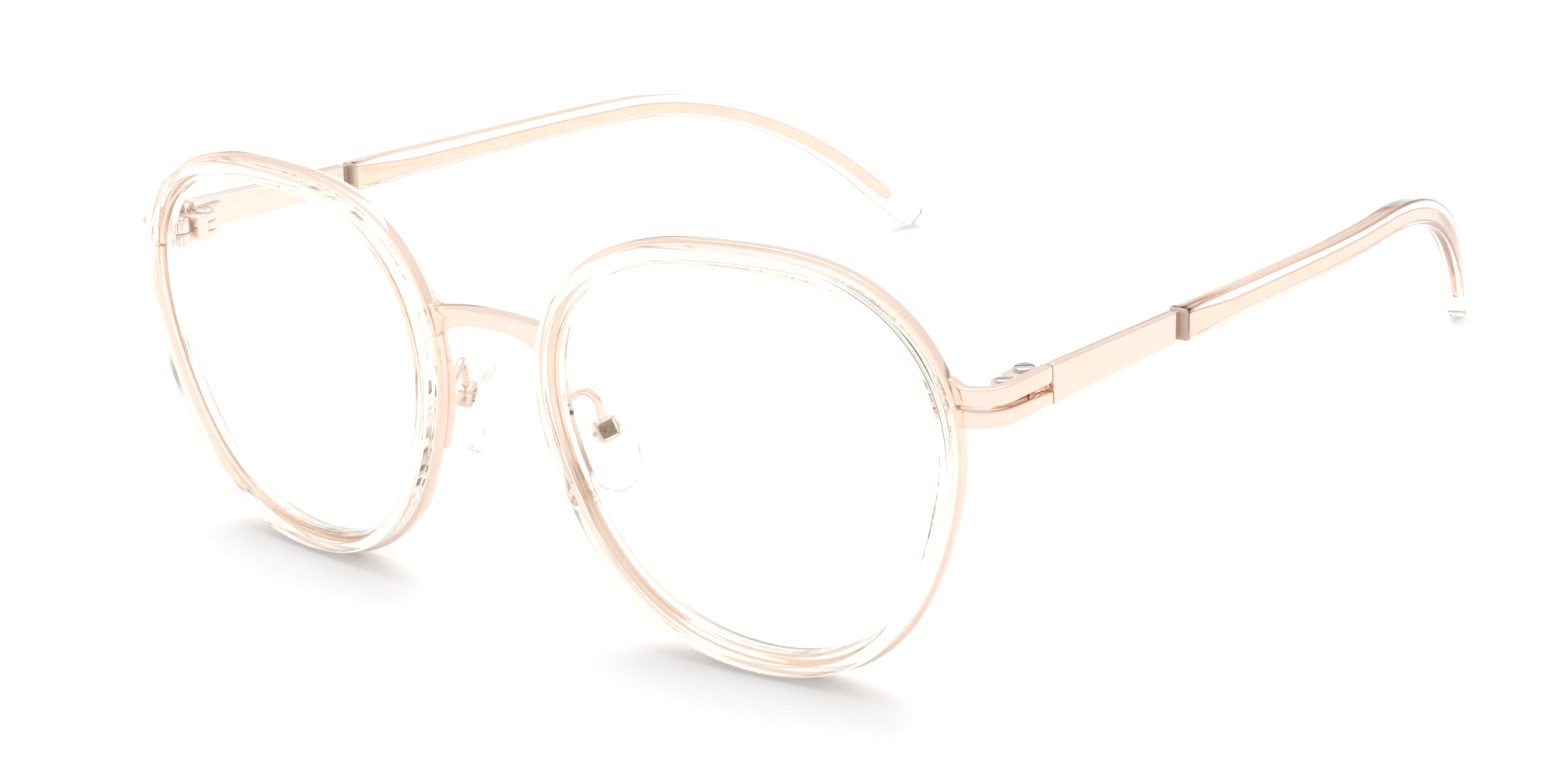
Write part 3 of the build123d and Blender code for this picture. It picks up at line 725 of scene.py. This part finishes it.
core_stations = [
    (SLEEVE_START + 0.6, 0.8, 2.8, 0.1), (30, 0.8, 2.8, 0.3), (35, 0.8, 2.3, 0.4), (40, 0.8, 1.8, 0.45),
    (67, 0.8, 1.7, 0.4), (93, 0.8, 1.7, 0.35), (119, 0.8, 1.8, 0.2), (132, 0.8, 1.8, 0.0),
    (core_end - 1.0, 0.75, 1.7, 0.0)]
blade_rings = [
    (0, 1.0, 4.25, 0.12), (0.1, 1.18, 4.43, 0.2), (1.2, 1.2, 4.42, 0.22), (8, 1.2, 4.2, 0.22),
    (16, 1.2, 3.98, 0.22),
    (25.6, 1.2, 3.71, 0.22), (25.8, 1.2, 3.7, 0.22), (25.9, 1.12, 3.66, 0.25), (26.0, 0.95, 3.6, 0.25),
    (26.2, 0.82, 3.55, 0.2), (26.6, 0.8, 3.5, 0.16), (26.95, 0.8, 3.3, 0.16), (27.2, 0.8, 2.95, 0.16)]
rings = [temple_section(*ring) for ring in blade_rings]
s = SLEEVE_START + 0.6
while s < core_end - 1.0:
    thick, height, lowered = eased(core_stations, s)
    rings.append(temple_section(s, thick, height, 0.16, lowered))
    s += CORE_STEP
for back, thick, height in ((0.9, 0.72, 1.75), (0.5, 0.62, 1.4), (0.2, 0.5, 1.0), (0.0, 0.3, 0.5)):
    rings.append(temple_section(core_end - back, thick, height, 0.14))
blade = loft(rings, "blade")
add_pair("blade_and_core", smooth(blade, 30), rose_gold, "temple", "temple_blade")

# ==== Temple sleeves ====
# A sleeve of the same crystal acetate is shot over the core: an oval mouth that takes the end of the
# blade, a slim part round the ear, and a paddle at the tip.


def second_material(name, marks, material):
    """Gives the marked faces of both pieces of a pair a second material."""
    for side in ("left", "right"):
        mesh = bpy.data.objects[f"{side}_{name}"].data
        mesh.materials.append(material)
        mesh.polygons.foreach_set("material_index", [int(mark) for mark in marks])
        mesh.update()


SLEEVE_ROUNDING = 0.16
MOUTH_END = temple_point(SLEEVE_START + 0.9).y

# The sleeve's mouth is ground, not polished: the same acetate, but cloudy, and warm where the gold
# shows through.
ground_acetate = new_material(
    "ground_acetate_mouth", {"Base Color": colour("DCC8BA"), "Transmission Weight": 0.3, "IOR": 1.48},
    grain_size=0.2, rough=(0.3, 0.45), bump_height=0.01)

sleeve_stations = [
    (SLEEVE_START, 2.6, 3.9), (31, 2.6, 3.9), (45, 2.4, 3.6), (60, 2.3, 3.4), (75, 2.3, 3.4), (88, 2.3, 3.4),
    (101, 2.3, 3.5), (114, 2.4, 3.8), (124, 2.6, 4.3), (sleeve_end - 10, 2.8, 4.8),
    (sleeve_end - 5, 2.8, 4.9), (sleeve_end - 1.5, 2.4, 4.1), (sleeve_end, 1.5, 2.4)]
rings = []
for s, trim in ((0.02, 1.2), (0.06, 0.8), (0.18, 0.4), (0.42, 0.12), (0.8, 0.0)):
    thick, height = eased(sleeve_stations, SLEEVE_START + s)
    thick, height = thick - trim, height - trim
    rings.append(temple_section(SLEEVE_START + s, thick, height, SLEEVE_ROUNDING * thick))
s = SLEEVE_START + 1.6
while s < sleeve_end - 1.2:
    thick, height = eased(sleeve_stations, s)
    rings.append(temple_section(s, thick, height, SLEEVE_ROUNDING * thick))
    s += SLEEVE_STEP
for back, trim in ((0.9, 0.0), (0.55, 0.12), (0.25, 0.45), (0.08, 0.85), (0.0, 1.2)):
    thick, height = eased(sleeve_stations, sleeve_end - back)
    rings.append(temple_section(
        sleeve_end - back, thick - trim, height - trim, SLEEVE_ROUNDING * (thick - trim)))
sleeve = loft(rings, "sleeve")
mouth_faces = [max(sleeve.vertices[i].co.y for i in face.vertices) < MOUTH_END for face in sleeve.polygons]
add_pair("crystal_sleeve", smooth(sleeve, 40), crystal, "temple", "temple_sleeve")
second_material("crystal_sleeve", mouth_faces, ground_acetate)

# ==== Nose pad arms ====
# A gooseneck of plated wire leaves the wing behind the band, arches up and back, and comes down
# on the box that holds the pad.

ARM_RADIUS = 0.5
arm_end = pad_plane @ Vector((0, 1.1, 0.3))
arm_route = [
    Vector((8.9, -0.7, 0)), Vector((9.15, 1.0, 1.3)), Vector((9.8, 2.4, 2.0)), Vector((10.8, 3.7, 0.9)),
    arm_end]
wire = bpy.data.curves.new("goose_neck", "CURVE")
wire.dimensions = "3D"
wire.resolution_u = 10
wire.bevel_depth = ARM_RADIUS
wire.bevel_resolution = 5
wire.use_fill_caps = True
spline = wire.splines.new("BEZIER")
spline.bezier_points.add(len(arm_route) - 1)
for i, (knot, place) in enumerate(zip(spline.bezier_points, arm_route)):
    knot.co = place
    knot.handle_left_type = knot.handle_right_type = "AUTO"
    knot.radius = 1.1 if i in (0, len(arm_route) - 1) else 1.0
neck = bpy.data.objects.new("goose_neck", wire)
bpy.context.collection.objects.link(neck)
bpy.context.view_layer.update()
neck_mesh = bpy.data.meshes.new_from_object(neck.evaluated_get(bpy.context.evaluated_depsgraph_get()))
bpy.data.objects.remove(neck)
form = bmesh.new()
form.from_mesh(neck_mesh)
bmesh.ops.remove_doubles(form, verts=form.verts, dist=0.001)
form.to_mesh(neck_mesh)
form.free()
add_pair("goose_neck", smooth(neck_mesh, 50), rose_gold, "front", "pad_arm")

# The box on its end, stamped from sheet: open towards the pad, with a dished back and a rivet in it.
# The dish and its rivet are coloured dark olive brown as painted dark reflection and shade on the polished
# metal.
BOX_HALF, BOX_DEPTH, DISH_HALF = 1.35, 1.8, 1.03
BOX_PROFILE = (
    (0.3, 0.58, 0.15), (1.04, 0.58, 0.3), (1.04, -0.82, 0.3), (1.08, -0.9, 0.32),
    (1.27, -0.9, 0.5), (BOX_HALF, -0.8, 0.58), (BOX_HALF, 0.78, 0.6), (1.27, BOX_DEPTH / 2, 0.55),
    (1.1, BOX_DEPTH / 2, 0.48), (DISH_HALF, 0.84, 0.42), (0.94, 0.74, 0.4), (0.6, 0.68, 0.3),
    (0.32, 0.66, 0.28), (0.3, 0.8, 0.27), (0.2, 0.87, 0.18))
# Painted dark reflection and shade for the dish: a dark olive-brown colour laid on the rose gold.
dish_painted_dark_reflection = new_material(
    "rose_gold_painted_dark_reflection", {"Metallic": 1.0}, grain_size=0.3, rough=(0.12, 0.3), bump_height=0.01,
    tint=("A4926F", "6B5B43"))

box_rings = []
for half, depth, radius in BOX_PROFILE:
    corners = [(-half, -half, radius), (half, -half, radius), (half, half, radius), (-half, half, radius)]
    box_rings.append([pad_plane @ Vector((p.x, p.y, depth)) for p in rounded_outline(corners)])
box = loft(box_rings, "pad_box")
into_box = pad_plane.inverted()
middles = [into_box @ face.center for face in box.polygons]
# The faces of the dish and rivet, which take the painted dark reflection and shade.
painted_dark_faces = [place.z > 0.6 and max(abs(place.x), abs(place.y)) < DISH_HALF - 0.1 for place in middles]
add_pair("pad_box", smooth(box, 50), rose_gold, "front", "pad_cup")
second_material("pad_box", painted_dark_faces, dish_painted_dark_reflection)

# ==== Nose pads ====
# Each pad is clear silicone, moulded as a soft oval cushion round a hard clear insert, and rocks on
# its screw inside the box.

PAD_HALF_WIDTH, PAD_HALF_LENGTH = 3.55, 6.65
PAD_DROP = 1.5
PAD_FACE = -1.5
PAD_POINTS = 40
PAD_TAPER = 0.09

# Moulded silicone: clear with a milky edge, softer in its shine than the acetate.
silicone = new_material(
    "moulded_clear_silicone", {"Base Color": colour("FBFAF8"), "Transmission Weight": 1.0, "IOR": 1.41},
    grain_size=0.4, rough=(0.08, 0.16), bump_height=0.01)

# Injection-moulded polycarbonate: clear and hard, with a slightly satin mould finish.
polycarbonate = new_material(
    "moulded_clear_polycarbonate", {"Base Color": colour("F4F3F0"), "Transmission Weight": 1.0, "IOR": 1.58},
    grain_size=0.3, rough=(0.04, 0.1), bump_height=0.006)

pad_rings = []
for share, depth in (
    (0.03, 0.2), (0.4, 0.16), (0.72, 0.08), (0.9, 0.06), (0.985, 0.3), (1.0, 0.75), (0.965, 1.3),
    (0.87, 1.72), (0.68, 1.93), (0.4, 2.02), (0.03, 2.06),
):
    ring = []
    for i in range(PAD_POINTS):
        a = 2 * pi * i / PAD_POINTS
        x = abs(cos(a)) ** 0.88 * (1 if cos(a) > 0 else -1)
        y = abs(sin(a)) ** 0.9 * (1 if sin(a) > 0 else -1)
        x *= PAD_HALF_WIDTH * (1 - PAD_TAPER * y)
        ring.append(pad_plane @ Vector((x * share, y * PAD_HALF_LENGTH * share - PAD_DROP, PAD_FACE - depth)))
    pad_rings.append(ring)
pad_holder = bpy.data.objects.new("pad", loft(pad_rings, "pad"))
bpy.context.collection.objects.link(pad_holder)
softened = pad_holder.modifiers.new("soften", "SUBSURF")
softened.levels = softened.render_levels = 2
bpy.context.view_layer.update()
pad = bpy.data.meshes.new_from_object(pad_holder.evaluated_get(bpy.context.evaluated_depsgraph_get()))
bpy.data.objects.remove(pad_holder)
add_pair("silicone_pad", smooth(pad, 60), silicone, "pad", "nose_pad")
add_pair("pad_insert_block", worked_copy("left_pad_lug", 0.1), polycarbonate, "pad", "pad_lug")

# ==== Table, light and camera ====
# The glasses stand open on a plain white table in a soft white surround, with one broad soft light
# over them. The surround has a darker band low down, which the metal picks up.

SURROUND_STRENGTH = 1.12
SOFTBOX_WIDTH, SOFTBOX_LENGTH = 0.9, 0.7
SOFTBOX_WATTS = 3.6

table_form = bmesh.new()
bmesh.ops.create_grid(table_form, x_segments=8, y_segments=8, size=4.0)
table_mesh = bpy.data.meshes.new("table")
table_form.to_mesh(table_mesh)
table_form.free()
table = bpy.data.objects.new("table", table_mesh)
bpy.context.collection.objects.link(table)
laminate = bpy.data.materials.new("matt_white_laminate")
laminate.use_nodes = True
tree = laminate.node_tree
shader = tree.nodes["Principled BSDF"]
shader.inputs["Specular IOR Level"].default_value = 0.2
shader.inputs["Roughness"].default_value = 0.8
pores = add_node(tree, "ShaderNodeTexNoise", {
    "Vector": add_node(tree, "ShaderNodeTexCoord").outputs["Object"], "Scale": 400.0, "Detail": 2.0})
paint = add_node(tree, "ShaderNodeMix", {
    "Factor": pores.outputs["Fac"], "A": colour("F7F7F7"), "B": colour("FAFAFA")}, data_type="RGBA")
tree.links.new(paint.outputs["Result"], shader.inputs["Base Color"])
table_mesh.materials.append(laminate)

world = bpy.data.worlds.new("white_surround")
world.use_nodes = True
bpy.context.scene.world = world
tree = world.node_tree
sky = tree.nodes["Background"]
look = add_node(tree, "ShaderNodeTexCoord").outputs["Generated"]
height = add_node(tree, "ShaderNodeSeparateXYZ", {"Vector": look}).outputs["Z"]
walls = add_node(tree, "ShaderNodeValToRGB", {"Fac": height})
walls.color_ramp.interpolation = "EASE"
for stop, grey in ((0.0, "EFEEED"), (0.04, "BDB4AA"), (0.12, "B5ABA0"), (0.2, "F4F3F2"), (1.0, "FFFFFF")):
    mark = walls.color_ramp.elements.new(stop) if 0 < stop < 1 else walls.color_ramp.elements[int(stop)]
    mark.color = colour(grey)
tree.links.new(walls.outputs["Color"], sky.inputs["Color"])
sky.inputs["Strength"].default_value = SURROUND_STRENGTH

lamp = bpy.data.lights.new("overhead_softbox", "AREA")
lamp.shape, lamp.size, lamp.size_y = "RECTANGLE", SOFTBOX_WIDTH, SOFTBOX_LENGTH
lamp.energy = SOFTBOX_WATTS
softbox = bpy.data.objects.new("overhead_softbox", lamp)
softbox.location = (-0.2, 0.15, 0.9)
softbox.rotation_euler = (Vector(softbox.location) - Vector((0, -0.02, 0))).to_track_quat("Z", "Y").to_euler()
bpy.context.collection.objects.link(softbox)

# A short telephoto view from above and in front, on the wearer's left.
camera_data = bpy.data.cameras.new("camera")
camera_data.lens = 71.14
camera_data.sensor_width = 36.0
camera_data.shift_x, camera_data.shift_y = -0.0164, 0.0023
camera_data.clip_start = 0.01
camera = bpy.data.objects.new("camera", camera_data)
camera.matrix_world = Matrix.Translation((0.2400, -0.31392, 0.14918)) @ Matrix((
    (0.7912, 0.60879, -0.05811), (-0.16729, 0.30684, 0.93694), (0.58823, -0.73159, 0.34462),
)).transposed().to_4x4()
bpy.context.collection.objects.link(camera)
bpy.context.scene.camera = camera
bpy.context.scene.view_settings.view_transform = "Standard"

# Light crosses many clear walls here, so it may turn often before it is given up.
paths = bpy.context.scene.cycles
paths.max_bounces, paths.glossy_bounces, paths.transmission_bounces = 32, 24, 32
